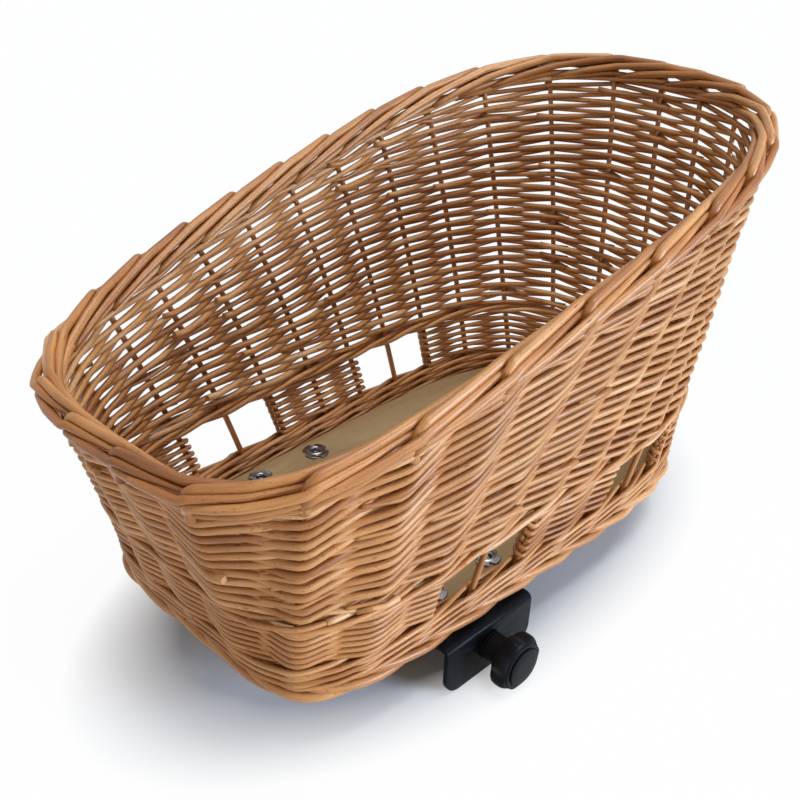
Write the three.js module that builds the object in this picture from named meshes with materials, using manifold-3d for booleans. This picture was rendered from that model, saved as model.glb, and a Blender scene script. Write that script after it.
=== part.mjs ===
// Bicycle pet basket of woven willow, with a plywood floor and two clamps for a carrier's side rails.
// Millimetres. +X points to the tall end, +Y to the far long side and +Z up.
// The origin lies under the middle of the rim, on the ground that the brackets stand on.

import * as THREE from 'three';
import { mergeVertices } from 'three/addons/utils/BufferGeometryUtils.js';
import Module from 'manifold-3d';

// Fits
const CLEARANCE = 0.3; // between pieces that touch
const STAKE_FIT = 0.5; // between a stake and the groove it stands in

// Outline of the foot, seen from above; squareness 2 is an ellipse
const FOOT_LENGTH = 400;
const FOOT_WIDTH = 218;
const FOOT_CENTRE_X = -6.4;
const FOOT_SQUARENESS_LOW = 6.5;
const FOOT_SQUARENESS_TALL = 4;
const FOOT_TAPER = 0.028; // the tall end is wider by this share
const FOOT_MIDDLE_X = 1.6; // where the two middle side stakes stand

// Outline and height of the rim's centre line; heights count from the foot's underside
const RIM_LENGTH = 496;
const RIM_WIDTH = 267;
const RIM_SQUARENESS_LOW = 3.9;
const RIM_SQUARENESS_TALL = 2.55;
const RIM_TAPER = 0.067;
const RIM_MIDDLE_X = 7.6;
const RIM_LOW_HEIGHT = 155;
const RIM_MIDDLE_HEIGHT = 217;
const RIM_TALL_HEIGHT = 262;
const RIM_SWELL = 6; // S-bend of the rim between its ends
const RIM_BORDER_WIDTH = 20;
const RIM_BORDER_HEIGHT = 16;

// Woven wall
const WALL_THICKNESS = 10; // at the stakes, where the weavers pass round them
const WALL_WAIST = 4.4; // between two stakes, where the weavers cross
const WAIST_SHIFT = 0.7; // the siding's waist lies this far inside the wall's middle
const WEAVERS_CROSS = 0.4; // share of the way to the next stake where the siding's weavers cross
const WEAVERS_INSIDE = 0.62; // share where a weaver has come right inside
const WALING_HEIGHT = 8; // rows at the siding's lower and upper edge that fill the wall
const WALL_FLARE_POWER = 1.2; // above 1 the wall starts steep and flares higher up
const FOOT_BORDER_HEIGHT = 9;
const WALE_HEIGHT = 17;
const WINDOW_HEIGHT = 34;

// Stakes; their lean is the run along the wall for each millimetre of height
const STAKE_COUNT = 28;
const STAKE_RADIUS = 2.2;
const STAKE_END_SLOPE = 0.5; // steepest slant of a stake's end against its seat
const STAKE_LEAN_SIDE = 0.27;
const STAKE_LEAN_TALL = 0.17;
const STAKE_LEAN_LOW = 0.06;
const STAKE_LEAN_SKEW = 0.3; // sides lean more towards the tall end
const WINDOW_STAKE_OFFSET = 2; // stakes from the middle of a side to a window's bare stake
const WINDOW_EDGE = 6; // weave past the middle of a window's edge stake

// Floor
const BOTTOM_THICKNESS = 6;
const BOARD_THICKNESS = 7.5;
const BOARD_EDGE_GAP = 1;
const TEE_FLANGE_RADIUS = 9.5;
const TEE_FLANGE_THICKNESS = 1.5;
const TEE_BARREL_RADIUS = 4.2;
const TEE_BARREL_LENGTH = 6.5;

// Brackets
const BRACKET_X = -66;
const BRACKET_LENGTH = 79;
const BRACKET_OVERHANG = 7.5; // face beyond the foot's widest line
const BRACKET_DROP = 37.2;
const BRACKET_SHELF = 70;
const BRACKET_SHEET = 3;
const BRACKET_BEND = 1.5; // inner radius of the fold
const BRACKET_CORNER = 13;
const SCREW_SPACING = 51;
const SCREW_SHIFT = 5.6; // screws stand this far towards the tall end
const SCREW_INSET = 33; // from the bracket's face
const SCREW_RADIUS = 2.9;
const SCREW_HEAD_RADIUS = 5.4;
const SCREW_HEAD_HEIGHT = 3.4;

// Star knob, its stud and washer
const STUD_DROP = 17.9; // stud axis under the bracket's top
const STUD_RADIUS = 2.9;
const STUD_END_SPARE = 4; // thread past the nut
const STUD_SHOULDER_RADIUS = 5;
const STUD_SHOULDER_LENGTH = 3;
const WASHER_RADIUS = 9.8;
const WASHER_THICKNESS = 1.5;
const KNOB_RADIUS = 19;
const KNOB_LOBES = 7;
const KNOB_LOBE_DEPTH = 3;
const KNOB_HUB_RADIUS = 9.4;
const KNOB_HUB_LENGTH = 11.5;
const KNOB_GRIP = 13.5;
const KNOB_EDGE = 2;
const CAP_RADIUS = 12.6;
const CAP_THICKNESS = 1.6;

// Hook plate, open at rest; the thread draws it outwards
const HOOK_FACE_Y = 48; // bearing face from the basket's middle, open
const HOOK_LENGTH = 58;
const HOOK_SHEET = 3;
const HOOK_DROP = 28; // lower edge under the bracket's top
const HOOK_LIP_DROP = 12.1; // lip's upper face under the bracket's top
const HOOK_LIP_REACH = 12;
const HOOK_LIP_SHEET = 2.4;
const NUT_ACROSS_FLATS = 10;
const NUT_THICKNESS = 5;

// Values that follow
const halfStakes = STAKE_COUNT / 2;
const wallHalf = WALL_THICKNESS / 2;
const waistHalf = WALL_WAIST / 2;
const holeRadius = SCREW_RADIUS + CLEARANCE + 0.2; // 0.2 makes up for the flat sides of round holes
const groundDrop = CLEARANCE + BRACKET_DROP;
const waleBottom = FOOT_BORDER_HEIGHT + CLEARANCE;
const waleTop = waleBottom + WALE_HEIGHT;
const windowBottom = waleTop + CLEARANCE;
const windowTop = windowBottom + WINDOW_HEIGHT;
const sidingBottom = windowTop + CLEARANCE;
const boardBottom = BOTTOM_THICKNESS + CLEARANCE;
const boardTop = boardBottom + BOARD_THICKNESS;
const faceY = FOOT_WIDTH / 2 + BRACKET_OVERHANG;
const screwY = faceY - SCREW_INSET;
const shelfTop = -CLEARANCE;
const shelfUnder = shelfTop - BRACKET_SHEET;
const studZ = shelfTop - STUD_DROP;
const roundSides = 16;

// Finishes
const willow = new THREE.MeshStandardMaterial({ color: 0xb98446, roughness: 0.55, metalness: 0 });
const willowInside = new THREE.MeshStandardMaterial({ color: 0x8a5a30, roughness: 0.6, metalness: 0 });
const plywood = new THREE.MeshStandardMaterial({ color: 0xb59a6a, roughness: 0.6, metalness: 0 });
const zinc = new THREE.MeshStandardMaterial({ color: 0xb9bdc0, roughness: 0.3, metalness: 1 });
const blackCoat = new THREE.MeshStandardMaterial({ color: 0x16181a, roughness: 0.4, metalness: 0.3 });
const blackPlastic = new THREE.MeshStandardMaterial({ color: 0x1a1c1e, roughness: 0.5, metalness: 0 });

const basket = new THREE.Group();

function addPiece(parent, name, geometry, material) {
  const mesh = new THREE.Mesh(geometry, material);
  mesh.name = name;
  parent.add(mesh);
  return mesh;
}

// Joins and cuts of closed meshes

const wasm = await Module();
wasm.setup();

function toSolid(geometry) {
  const bare = geometry.clone();
  bare.deleteAttribute('normal');
  bare.deleteAttribute('uv');
  const merged = mergeVertices(bare, 1e-4);
  const vertProperties = new Float32Array(merged.attributes.position.array);
  const triVerts = new Uint32Array(merged.index.array);
  return new wasm.Manifold(new wasm.Mesh({ numProp: 3, vertProperties, triVerts }));
}

function toGeometry(solid) {
  const mesh = solid.getMesh();
  const geometry = new THREE.BufferGeometry();
  geometry.setAttribute('position', new THREE.BufferAttribute(mesh.vertProperties, 3));
  geometry.setIndex(new THREE.BufferAttribute(mesh.triVerts, 1));
  geometry.computeVertexNormals();
  return geometry;
}

// Ovals of the foot and the rim, with stations counted in stakes.
// Station 0 is the middle of the far side; the count runs by the low end, the near side and the tall end.

function ovalPoint(oval, angle) {
  const c = Math.cos(angle);
  const s = Math.sin(angle);
  const power = c < 0 ? oval.squarenessLow : oval.squarenessTall;
  const reach = (Math.abs(c) ** power + Math.abs(s) ** power) ** (-1 / power);
  const across = 1 + oval.taper * reach * c;
  return new THREE.Vector2(oval.centreX + (oval.length / 2) * reach * c, (oval.width / 2) * across * reach * s);
}

function arcTable(oval, startAngle, endAngle) {
  const steps = 720;
  const table = [{ angle: startAngle, run: 0 }];
  let last = ovalPoint(oval, startAngle);
  let run = 0;
  for (let i = 1; i <= steps; i += 1) {
    const angle = startAngle + ((endAngle - startAngle) * i) / steps;
    const point = ovalPoint(oval, angle);
    run += point.distanceTo(last);
    table.push({ angle, run });
    last = point;
  }
  return table;
}

function angleAtRun(table, share) {
  const wanted = share * table.at(-1).run;
  let low = 0;
  let high = table.length - 1;
  while (high - low > 1) {
    const middle = (low + high) >> 1;
    if (table[middle].run <= wanted) low = middle;
    else high = middle;
  }
  const part = (wanted - table[low].run) / (table[high].run - table[low].run);
  return table[low].angle + (table[high].angle - table[low].angle) * part;
}

// The stakes of the low half and of the tall half are spaced evenly between the two side middles.
function makeOval(sizes, middleX) {
  let low = 0.01;
  let high = Math.PI - 0.01;
  for (let i = 0; i < 60; i += 1) {
    const middle = (low + high) / 2;
    if (ovalPoint(sizes, middle).x > middleX) low = middle;
    else high = middle;
  }
  const lowHalf = arcTable(sizes, low, 2 * Math.PI - low);
  const tallHalf = arcTable(sizes, 2 * Math.PI - low, 2 * Math.PI + low);
  const perimeter = lowHalf.at(-1).run + tallHalf.at(-1).run;
  const angleAt = (station) => {
    const turned = ((station % STAKE_COUNT) + STAKE_COUNT) % STAKE_COUNT;
    if (turned < halfStakes) return angleAtRun(lowHalf, turned / halfStakes);
    return angleAtRun(tallHalf, (turned - halfStakes) / halfStakes);
  };
  const at = (station) => ovalPoint(sizes, angleAt(station));
  return { at, angleAt, perimeter };
}

const wallFoot = makeOval({
  length: FOOT_LENGTH - WALL_THICKNESS,
  width: FOOT_WIDTH - WALL_THICKNESS,
  centreX: FOOT_CENTRE_X,
  squarenessLow: FOOT_SQUARENESS_LOW,
  squarenessTall: FOOT_SQUARENESS_TALL,
  taper: FOOT_TAPER,
}, FOOT_MIDDLE_X);

const rimLine = makeOval({
  length: RIM_LENGTH,
  width: RIM_WIDTH,
  centreX: 0,
  squarenessLow: RIM_SQUARENESS_LOW,
  squarenessTall: RIM_SQUARENESS_TALL,
  taper: RIM_TAPER,
}, RIM_MIDDLE_X);

function rimHeight(station) {
  const u = rimLine.at(station).x / (RIM_LENGTH / 2);
  const rise = (RIM_TALL_HEIGHT - RIM_LOW_HEIGHT) / 2;
  const sag = (RIM_TALL_HEIGHT + RIM_LOW_HEIGHT) / 2 - RIM_MIDDLE_HEIGHT;
  return RIM_MIDDLE_HEIGHT + rise * u + sag * u * u + RIM_SWELL * (u - u ** 3);
}

// Middle of the wall at a station and a height, and the outward direction there
function wallMiddle(station, height) {
  const share = Math.min(height / rimHeight(station), 1) ** WALL_FLARE_POWER;
  return wallFoot.at(station).lerp(rimLine.at(station), share);
}

function wallPoint(station, height, outward) {
  const middle = wallMiddle(station, height);
  const before = wallMiddle(station - 0.05, height);
  const after = wallMiddle(station + 0.05, height);
  const tangent = after.sub(before).normalize();
  const x = middle.x + tangent.y * outward;
  const y = middle.y - tangent.x * outward;
  return new THREE.Vector3(x, y, height);
}

// A stake starts at its foot station and leans along the wall as it rises
function leanedStation(station, height) {
  const angle = wallFoot.angleAt(station);
  const c = Math.cos(angle);
  const s = Math.sin(angle);
  const endLean = c > 0 ? STAKE_LEAN_TALL : STAKE_LEAN_LOW;
  const lean = STAKE_LEAN_SIDE * s * s * (1 + STAKE_LEAN_SKEW * c) + endLean * c * c;
  return station + (lean * height * STAKE_COUNT) / wallFoot.perimeter;
}

// Height where a leaning line reaches the underside of the rim border
function wallTop(station) {
  let height = RIM_LOW_HEIGHT;
  for (let i = 0; i < 12; i += 1) {
    height = rimHeight(leanedStation(station, height)) - RIM_BORDER_HEIGHT / 2 - CLEARANCE;
  }
  return height;
}

// Closed solids from rows of points

function facesGeometry(points, triangles) {
  const geometry = new THREE.BufferGeometry();
  geometry.setFromPoints(points);
  geometry.setIndex(triangles);
  geometry.computeVertexNormals();
  return geometry;
}

// Each column holds an inner and an outer point for every level, counted upwards.
// A column marked entersGroove is followed by the groove's bottom.
function shellGeometry(columns, closed) {
  const levels = columns[0].inner.length;
  const points = [];
  const triangles = [];
  for (const column of columns) points.push(...column.inner, ...column.outer);
  const inner = (k, j) => (k % columns.length) * 2 * levels + j;
  const outer = (k, j) => inner(k, j) + levels;
  const quad = (a, b, c, d) => triangles.push(a, b, c, a, c, d);
  const spans = closed ? columns.length : columns.length - 1;
  const top = levels - 1;
  for (let k = 0; k < spans; k += 1) {
    const n = k + 1;
    for (let j = 0; j < top; j += 1) {
      quad(outer(k, j), outer(n, j), outer(n, j + 1), outer(k, j + 1));
      quad(inner(n, j), inner(k, j), inner(k, j + 1), inner(n, j + 1));
    }
    if (columns[k].entersGroove) {
      quad(inner(n, top), inner(k, top), outer(k, top), outer(n, top));
      quad(outer(k, 0), inner(k, 0), inner(n, 0), outer(n, 0));
    } else {
      quad(inner(k, top), outer(k, top), outer(n, top), inner(n, top));
      quad(outer(n, 0), outer(k, 0), inner(k, 0), inner(n, 0));
    }
  }
  if (!closed) {
    const last = columns.length - 1;
    for (let j = 0; j < top; j += 1) {
      quad(inner(0, j), outer(0, j), outer(0, j + 1), inner(0, j + 1));
      quad(outer(last, j), inner(last, j), inner(last, j + 1), outer(last, j + 1));
    }
  }
  return facesGeometry(points, triangles);
}

// A ring swept through sections; each section runs round its middle, outer side first and upwards
function ringGeometry(sections) {
  const sides = sections[0].length;
  const points = sections.flat();
  const triangles = [];
  for (let k = 0; k < sections.length; k += 1) {
    const n = (k + 1) % sections.length;
    for (let m = 0; m < sides; m += 1) {
      const next = (m + 1) % sides;
      const a = k * sides + m;
      const b = n * sides + m;
      const c = n * sides + next;
      const d = k * sides + next;
      triangles.push(a, b, c, a, c, d);
    }
  }
  return facesGeometry(points, triangles);
}

function roundedSection(width, height, corner) {
  const w = width / 2;
  const h = height / 2;
  return [
    [w, -h + corner], [w, h - corner], [w - corner, h], [corner - w, h],
    [-w, h - corner], [-w, corner - h], [corner - w, -h], [w - corner, -h],
  ];
}

// Willow work

// A line of points up the wall, from a foot station, at a distance outwards from the wall's middle
function wallLine(station, outward, levelsAt) {
  return levelsAt(station).map((height) => wallPoint(leanedStation(station, height), height, outward));
}

// How far the wall reaches in and out between two stakes, by the share of the way to the next stake
const fullWeave = [{ share: 0.5, inward: wallHalf, outward: wallHalf }];
const panelWeave = [{ share: 0.5, inward: waistHalf, outward: waistHalf }];
// In the siding a weaver goes in quickly past a stake and comes out slowly
const sidingWeave = [
  { share: WEAVERS_CROSS, inward: waistHalf + WAIST_SHIFT, outward: waistHalf - WAIST_SHIFT },
  { share: WEAVERS_INSIDE, inward: wallHalf, outward: waistHalf + WAIST_SHIFT },
];

// A column between two stakes; the levels given as full keep the wall's thickness
function waistColumn(station, place, levelsAt, fullLevels) {
  const line = (side, reach) => levelsAt(station).map((height, i) => {
    const half = fullLevels.includes(i) ? wallHalf : reach;
    return wallPoint(leanedStation(station, height), height, side * half);
  });
  return { inner: line(-1, place.inward), outer: line(1, place.outward), entersGroove: false };
}

// Columns of a woven band between two stakes; at each stake the inner face has a groove
function bandColumns(firstStake, lastStake, levelsAt, weave, fullLevels) {
  const columns = [];
  const grooveDepth = STAKE_RADIUS + STAKE_FIT;
  const groove = (grooveDepth * STAKE_COUNT) / wallFoot.perimeter;
  const add = (innerStation, innerOutward, outerStation, entersGroove) => {
    const inner = wallLine(innerStation, innerOutward, levelsAt);
    const outer = wallLine(outerStation, wallHalf, levelsAt);
    columns.push({ inner, outer, entersGroove });
  };
  for (let stake = firstStake; stake <= lastStake; stake += 1) {
    if (stake > firstStake) {
      for (const place of weave) {
        columns.push(waistColumn(stake - 1 + place.share, place, levelsAt, fullLevels));
      }
    }
    add(stake - groove, -wallHalf, stake - 2 * groove, true);
    add(stake - groove, grooveDepth, stake - groove, false);
    add(stake + groove, grooveDepth, stake + groove, false);
    add(stake + groove, -wallHalf, stake + 2 * groove, false);
  }
  return columns;
}

function bandRing(levelsAt, weave, fullLevels) {
  const columns = bandColumns(0, STAKE_COUNT, levelsAt, weave, fullLevels);
  return shellGeometry(columns.slice(0, -4), true);
}

// A panel ends a little past its edge stakes, where the weavers turn back
function bandPanel(firstStake, lastStake, levelsAt) {
  const columns = bandColumns(firstStake, lastStake, levelsAt, panelWeave, []);
  const edge = (WINDOW_EDGE * STAKE_COUNT) / wallFoot.perimeter;
  const endColumn = (station) => ({
    inner: wallLine(station, -wallHalf, levelsAt),
    outer: wallLine(station, wallHalf, levelsAt),
    entersGroove: false,
  });
  return shellGeometry([endColumn(firstStake - edge), ...columns, endColumn(lastStake + edge)], false);
}

function evenLevels(low, high, count) {
  return Array.from({ length: count }, (_, i) => low + ((high - low) * i) / (count - 1));
}

// The waling keeps its full thickness, and the wall draws in within half its height beyond it
const waistLevels = 4;
const walingLevels = [0, 1, waistLevels + 2, waistLevels + 3];

function sidingLevels(station) {
  const top = wallTop(station);
  const low = sidingBottom + WALING_HEIGHT;
  const high = top - WALING_HEIGHT;
  const drawIn = WALING_HEIGHT / 2;
  return [sidingBottom, low, ...evenLevels(low + drawIn, high - drawIn, waistLevels), high, top];
}

function makeFootBorder() {
  const section = roundedSection(WALL_THICKNESS, FOOT_BORDER_HEIGHT, FOOT_BORDER_HEIGHT / 3);
  const sections = [];
  for (let i = 0; i < 2 * STAKE_COUNT; i += 1) {
    sections.push(section.map(([outward, up]) => {
      const point = wallPoint(i / 2, 0, outward);
      point.z = FOOT_BORDER_HEIGHT / 2 + up;
      return point;
    }));
  }
  return ringGeometry(sections);
}

function makeRimBorder() {
  const section = roundedSection(RIM_BORDER_WIDTH, RIM_BORDER_HEIGHT, RIM_BORDER_HEIGHT / 3);
  const sections = [];
  for (let i = 0; i < 2 * STAKE_COUNT; i += 1) {
    const station = leanedStation(i / 2, wallTop(i / 2));
    const middle = rimHeight(station);
    sections.push(section.map(([outward, up]) => {
      const point = wallPoint(station, middle, outward);
      point.z = middle + up;
      return point;
    }));
  }
  return ringGeometry(sections);
}

function makeStake(stake) {
  const points = [];
  const endLift = STAKE_RADIUS * STAKE_END_SLOPE;
  for (const height of evenLevels(waleBottom + endLift, wallTop(stake) - endLift, 9)) {
    points.push(wallPoint(leanedStation(stake, height), height, 0));
  }
  const outline = new THREE.Shape();
  const sides = 6;
  for (let i = 0; i < sides; i += 1) {
    const angle = (2 * Math.PI * i) / sides;
    const x = STAKE_RADIUS * Math.cos(angle);
    const y = STAKE_RADIUS * Math.sin(angle);
    if (i === 0) outline.moveTo(x, y);
    else outline.lineTo(x, y);
  }
  const extrudePath = new THREE.CatmullRomCurve3(points);
  return new THREE.ExtrudeGeometry(outline, { steps: 7, extrudePath });
}

const nearMiddle = Math.round(halfStakes);
const windowStakes = [
  WINDOW_STAKE_OFFSET,
  nearMiddle - WINDOW_STAKE_OFFSET,
  nearMiddle + WINDOW_STAKE_OFFSET,
  STAKE_COUNT - WINDOW_STAKE_OFFSET,
];
const panelNames = ['panel_low_end', 'panel_near_side', 'panel_tall_end', 'panel_far_side'];

addPiece(basket, 'foot_border', makeFootBorder(), willow);
addPiece(basket, 'bottom_wale', bandRing(() => [waleBottom, waleTop], fullWeave, []), willow);
for (let i = 0; i < windowStakes.length; i += 1) {
  const next = (i + 1) % windowStakes.length;
  const first = windowStakes[i] + 1;
  const last = windowStakes[next] - 1 + (next === 0 ? STAKE_COUNT : 0);
  addPiece(basket, panelNames[i], bandPanel(first, last, () => [windowBottom, windowTop]), willow);
}
addPiece(basket, 'siding', bandRing(sidingLevels, sidingWeave, walingLevels), willow);
addPiece(basket, 'rim_border', makeRimBorder(), willow);
for (let stake = 0; stake < STAKE_COUNT; stake += 1) {
  const name = `stake_${String(stake + 1).padStart(2, '0')}`;
  addPiece(basket, name, makeStake(stake), willowInside);
}

// Floor

function roundHole(x, y, radius) {
  const hole = new THREE.Path();
  hole.absarc(x, y, radius, 0, 2 * Math.PI, true);
  return hole;
}

function screwPlaces() {
  const places = [];
  for (const side of [1, -1]) {
    for (const end of [-1, 1]) {
      places.push({ x: BRACKET_X + SCREW_SHIFT + (end * SCREW_SPACING) / 2, y: side * screwY });
    }
  }
  return places;
}

// A plate inside the wall, drilled for the four screws
function floorPlate(edgeGap, height, thickness, drillRadius) {
  const outline = new THREE.Shape();
  for (let i = 0; i < 2 * STAKE_COUNT; i += 1) {
    const point = wallPoint(i / 2, height, -wallHalf - edgeGap);
    if (i === 0) outline.moveTo(point.x, point.y);
    else outline.lineTo(point.x, point.y);
  }
  for (const place of screwPlaces()) outline.holes.push(roundHole(place.x, place.y, drillRadius));
  const geometry = new THREE.ExtrudeGeometry(outline, {
    depth: thickness,
    bevelEnabled: false,
    curveSegments: roundSides / 2,
  });
  return geometry.translate(0, 0, height);
}

function latheZ(profile) {
  const outline = profile.map(([radius, height]) => new THREE.Vector2(radius, height));
  return new THREE.LatheGeometry(outline, roundSides).rotateX(Math.PI / 2);
}

function makeTeeNut() {
  const low = -TEE_BARREL_LENGTH;
  return latheZ([
    [holeRadius, low],
    [TEE_BARREL_RADIUS, low],
    [TEE_BARREL_RADIUS, 0],
    [TEE_FLANGE_RADIUS, 0],
    [TEE_FLANGE_RADIUS, TEE_FLANGE_THICKNESS],
    [holeRadius, TEE_FLANGE_THICKNESS],
    [holeRadius, low],
  ]);
}

function makeScrew() {
  const headTop = shelfUnder - CLEARANCE;
  const headLow = headTop - SCREW_HEAD_HEIGHT;
  return latheZ([
    [0, headLow],
    [SCREW_HEAD_RADIUS * 0.6, headLow],
    [SCREW_HEAD_RADIUS, headLow + SCREW_HEAD_HEIGHT * 0.6],
    [SCREW_HEAD_RADIUS, headTop],
    [SCREW_RADIUS, headTop],
    [SCREW_RADIUS, boardTop],
    [0, boardTop],
  ]);
}

addPiece(basket, 'woven_bottom', floorPlate(CLEARANCE, 0, BOTTOM_THICKNESS, holeRadius), willowInside);
const barrelHole = TEE_BARREL_RADIUS + CLEARANCE;
addPiece(basket, 'floor_board', floorPlate(BOARD_EDGE_GAP, boardBottom, BOARD_THICKNESS, barrelHole), plywood);
screwPlaces().forEach((place, i) => {
  const nut = addPiece(basket, `tee_nut_${i + 1}`, makeTeeNut(), zinc);
  nut.position.set(place.x, place.y, boardTop + CLEARANCE);
  const screw = addPiece(basket, `bracket_screw_${i + 1}`, makeScrew(), zinc);
  screw.position.set(place.x, place.y, 0);
});

// Carrier clamps, built for the far side; the near one is turned half round

// Lays an outline drawn in (Y, Z) along X, about the middle
function extrudeAlongX(outline, length, curveSegments) {
  const geometry = new THREE.ExtrudeGeometry(outline, { depth: length, bevelEnabled: false, curveSegments });
  geometry.translate(0, 0, -length / 2);
  const axes = new THREE.Matrix4().makeBasis(
    new THREE.Vector3(0, 1, 0),
    new THREE.Vector3(0, 0, 1),
    new THREE.Vector3(1, 0, 0),
  );
  return geometry.applyMatrix4(axes);
}

// A turned piece about the stud's axis; heights run outwards along Y
function latheY(profile) {
  const outline = profile.map(([radius, y]) => new THREE.Vector2(radius, y));
  return new THREE.LatheGeometry(outline, roundSides).translate(0, 0, studZ);
}

function makeBracket(screwShift) {
  const foldOut = BRACKET_BEND + BRACKET_SHEET;
  const low = shelfTop - BRACKET_DROP;
  const profile = new THREE.Shape();
  profile.moveTo(faceY - BRACKET_SHELF, shelfUnder);
  profile.lineTo(faceY - foldOut, shelfUnder);
  profile.absarc(faceY - foldOut, shelfTop - foldOut, BRACKET_BEND, Math.PI / 2, 0, true);
  profile.lineTo(faceY - BRACKET_SHEET, low);
  profile.lineTo(faceY, low);
  profile.lineTo(faceY, shelfTop - foldOut);
  profile.absarc(faceY - foldOut, shelfTop - foldOut, foldOut, 0, Math.PI / 2, false);
  profile.lineTo(faceY - BRACKET_SHELF, shelfTop);
  profile.closePath();
  let solid = toSolid(extrudeAlongX(profile, BRACKET_LENGTH, 4));
  const half = BRACKET_LENGTH / 2;
  const spare = 5;
  const plate = new THREE.Shape();
  plate.moveTo(-half, shelfTop + spare);
  plate.lineTo(-half, low + BRACKET_CORNER);
  plate.absarc(BRACKET_CORNER - half, low + BRACKET_CORNER, BRACKET_CORNER, Math.PI, 1.5 * Math.PI, false);
  plate.lineTo(half - BRACKET_CORNER, low);
  plate.absarc(half - BRACKET_CORNER, low + BRACKET_CORNER, BRACKET_CORNER, 1.5 * Math.PI, 2 * Math.PI, false);
  plate.lineTo(half, shelfTop + spare);
  plate.closePath();
  const depth = BRACKET_SHELF + 2 * spare;
  const front = new THREE.ExtrudeGeometry(plate, { depth, bevelEnabled: false, curveSegments: 5 });
  front.rotateX(Math.PI / 2);
  front.translate(0, faceY + spare, 0);
  solid = solid.intersect(toSolid(front));
  for (const end of [-1, 1]) {
    const drill = new THREE.CylinderGeometry(holeRadius, holeRadius, 4 * BRACKET_SHEET, roundSides);
    drill.rotateX(Math.PI / 2);
    drill.translate(screwShift + (end * SCREW_SPACING) / 2, screwY, shelfTop - BRACKET_SHEET / 2);
    solid = solid.subtract(toSolid(drill));
  }
  const studDrill = new THREE.CylinderGeometry(holeRadius, holeRadius, 4 * BRACKET_SHEET, roundSides);
  studDrill.translate(0, faceY - BRACKET_SHEET / 2, studZ);
  return toGeometry(solid.subtract(toSolid(studDrill)));
}

const washerY = faceY + CLEARANCE;
const hubY = washerY + WASHER_THICKNESS + CLEARANCE;
const gripY = hubY + KNOB_HUB_LENGTH;
const knobFrontY = gripY + KNOB_GRIP;
const hookBackY = HOOK_FACE_Y - HOOK_SHEET;
const nutBackY = hookBackY - CLEARANCE - NUT_THICKNESS;

function makeWasher() {
  const outer = washerY + WASHER_THICKNESS;
  return latheY([
    [holeRadius, washerY],
    [WASHER_RADIUS, washerY],
    [WASHER_RADIUS, outer],
    [holeRadius, outer],
    [holeRadius, washerY],
  ]);
}

// The stud's shoulder runs on the bracket's inner face
function makeStud() {
  const shoulderOut = faceY - BRACKET_SHEET - CLEARANCE;
  const shoulderIn = shoulderOut - STUD_SHOULDER_LENGTH;
  return latheY([
    [0, nutBackY - STUD_END_SPARE],
    [STUD_RADIUS, nutBackY - STUD_END_SPARE],
    [STUD_RADIUS, shoulderIn],
    [STUD_SHOULDER_RADIUS, shoulderIn],
    [STUD_SHOULDER_RADIUS, shoulderOut],
    [STUD_RADIUS, shoulderOut],
    [STUD_RADIUS, knobFrontY],
    [0, knobFrontY],
  ]);
}

function lobedOutline(radius) {
  const outline = new THREE.Shape();
  const steps = KNOB_LOBES * 6;
  for (let i = 0; i < steps; i += 1) {
    const angle = (2 * Math.PI * i) / steps;
    const dip = (KNOB_LOBE_DEPTH * (1 - Math.cos(KNOB_LOBES * angle))) / 2;
    const x = (radius - dip) * Math.cos(angle);
    const y = (radius - dip) * Math.sin(angle);
    if (i === 0) outline.moveTo(x, y);
    else outline.lineTo(x, y);
  }
  outline.closePath();
  return outline;
}

// Lobed grip with bevelled edges, joined to a round hub and bored for the stud
function makeKnob() {
  const grip = new THREE.ExtrudeGeometry(lobedOutline(KNOB_RADIUS - KNOB_EDGE), {
    depth: KNOB_GRIP - 2 * KNOB_EDGE,
    bevelThickness: KNOB_EDGE,
    bevelSize: KNOB_EDGE,
    bevelSegments: 1,
  });
  grip.rotateX(Math.PI / 2);
  grip.translate(0, knobFrontY - KNOB_EDGE, studZ);
  const hubLength = KNOB_HUB_LENGTH + KNOB_GRIP / 2;
  const hub = new THREE.CylinderGeometry(KNOB_HUB_RADIUS, KNOB_HUB_RADIUS, hubLength, roundSides);
  hub.translate(0, hubY + hubLength / 2, studZ);
  const boreLength = 2 * (KNOB_HUB_LENGTH + KNOB_GRIP);
  const bore = new THREE.CylinderGeometry(holeRadius, holeRadius, boreLength, roundSides);
  bore.translate(0, hubY + boreLength / 4, studZ);
  return toGeometry(toSolid(grip).add(toSolid(hub)).subtract(toSolid(bore)));
}

function makeCap() {
  const back = knobFrontY + CLEARANCE;
  const edge = CAP_THICKNESS / 3;
  return latheY([
    [0, back],
    [CAP_RADIUS, back],
    [CAP_RADIUS, back + CAP_THICKNESS - edge],
    [CAP_RADIUS - edge, back + CAP_THICKNESS],
    [0, back + CAP_THICKNESS],
  ]);
}

// Upright web that bears on the rail from inside, with a lip that goes under it
function makeHookPlate() {
  const high = shelfUnder - CLEARANCE;
  const low = shelfTop - HOOK_DROP;
  const lipTop = shelfTop - HOOK_LIP_DROP;
  const lipEnd = HOOK_FACE_Y + HOOK_LIP_REACH;
  const profile = new THREE.Shape();
  profile.moveTo(hookBackY, low);
  profile.lineTo(HOOK_FACE_Y, low);
  profile.lineTo(HOOK_FACE_Y, lipTop - HOOK_LIP_SHEET);
  profile.lineTo(lipEnd, lipTop - HOOK_LIP_SHEET);
  profile.lineTo(lipEnd, lipTop);
  profile.lineTo(HOOK_FACE_Y, lipTop);
  profile.lineTo(HOOK_FACE_Y, high);
  profile.lineTo(hookBackY, high);
  profile.closePath();
  const drill = new THREE.CylinderGeometry(holeRadius, holeRadius, 4 * HOOK_SHEET, roundSides);
  drill.translate(0, HOOK_FACE_Y, studZ);
  return toGeometry(toSolid(extrudeAlongX(profile, HOOK_LENGTH, 1)).subtract(toSolid(drill)));
}

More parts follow.
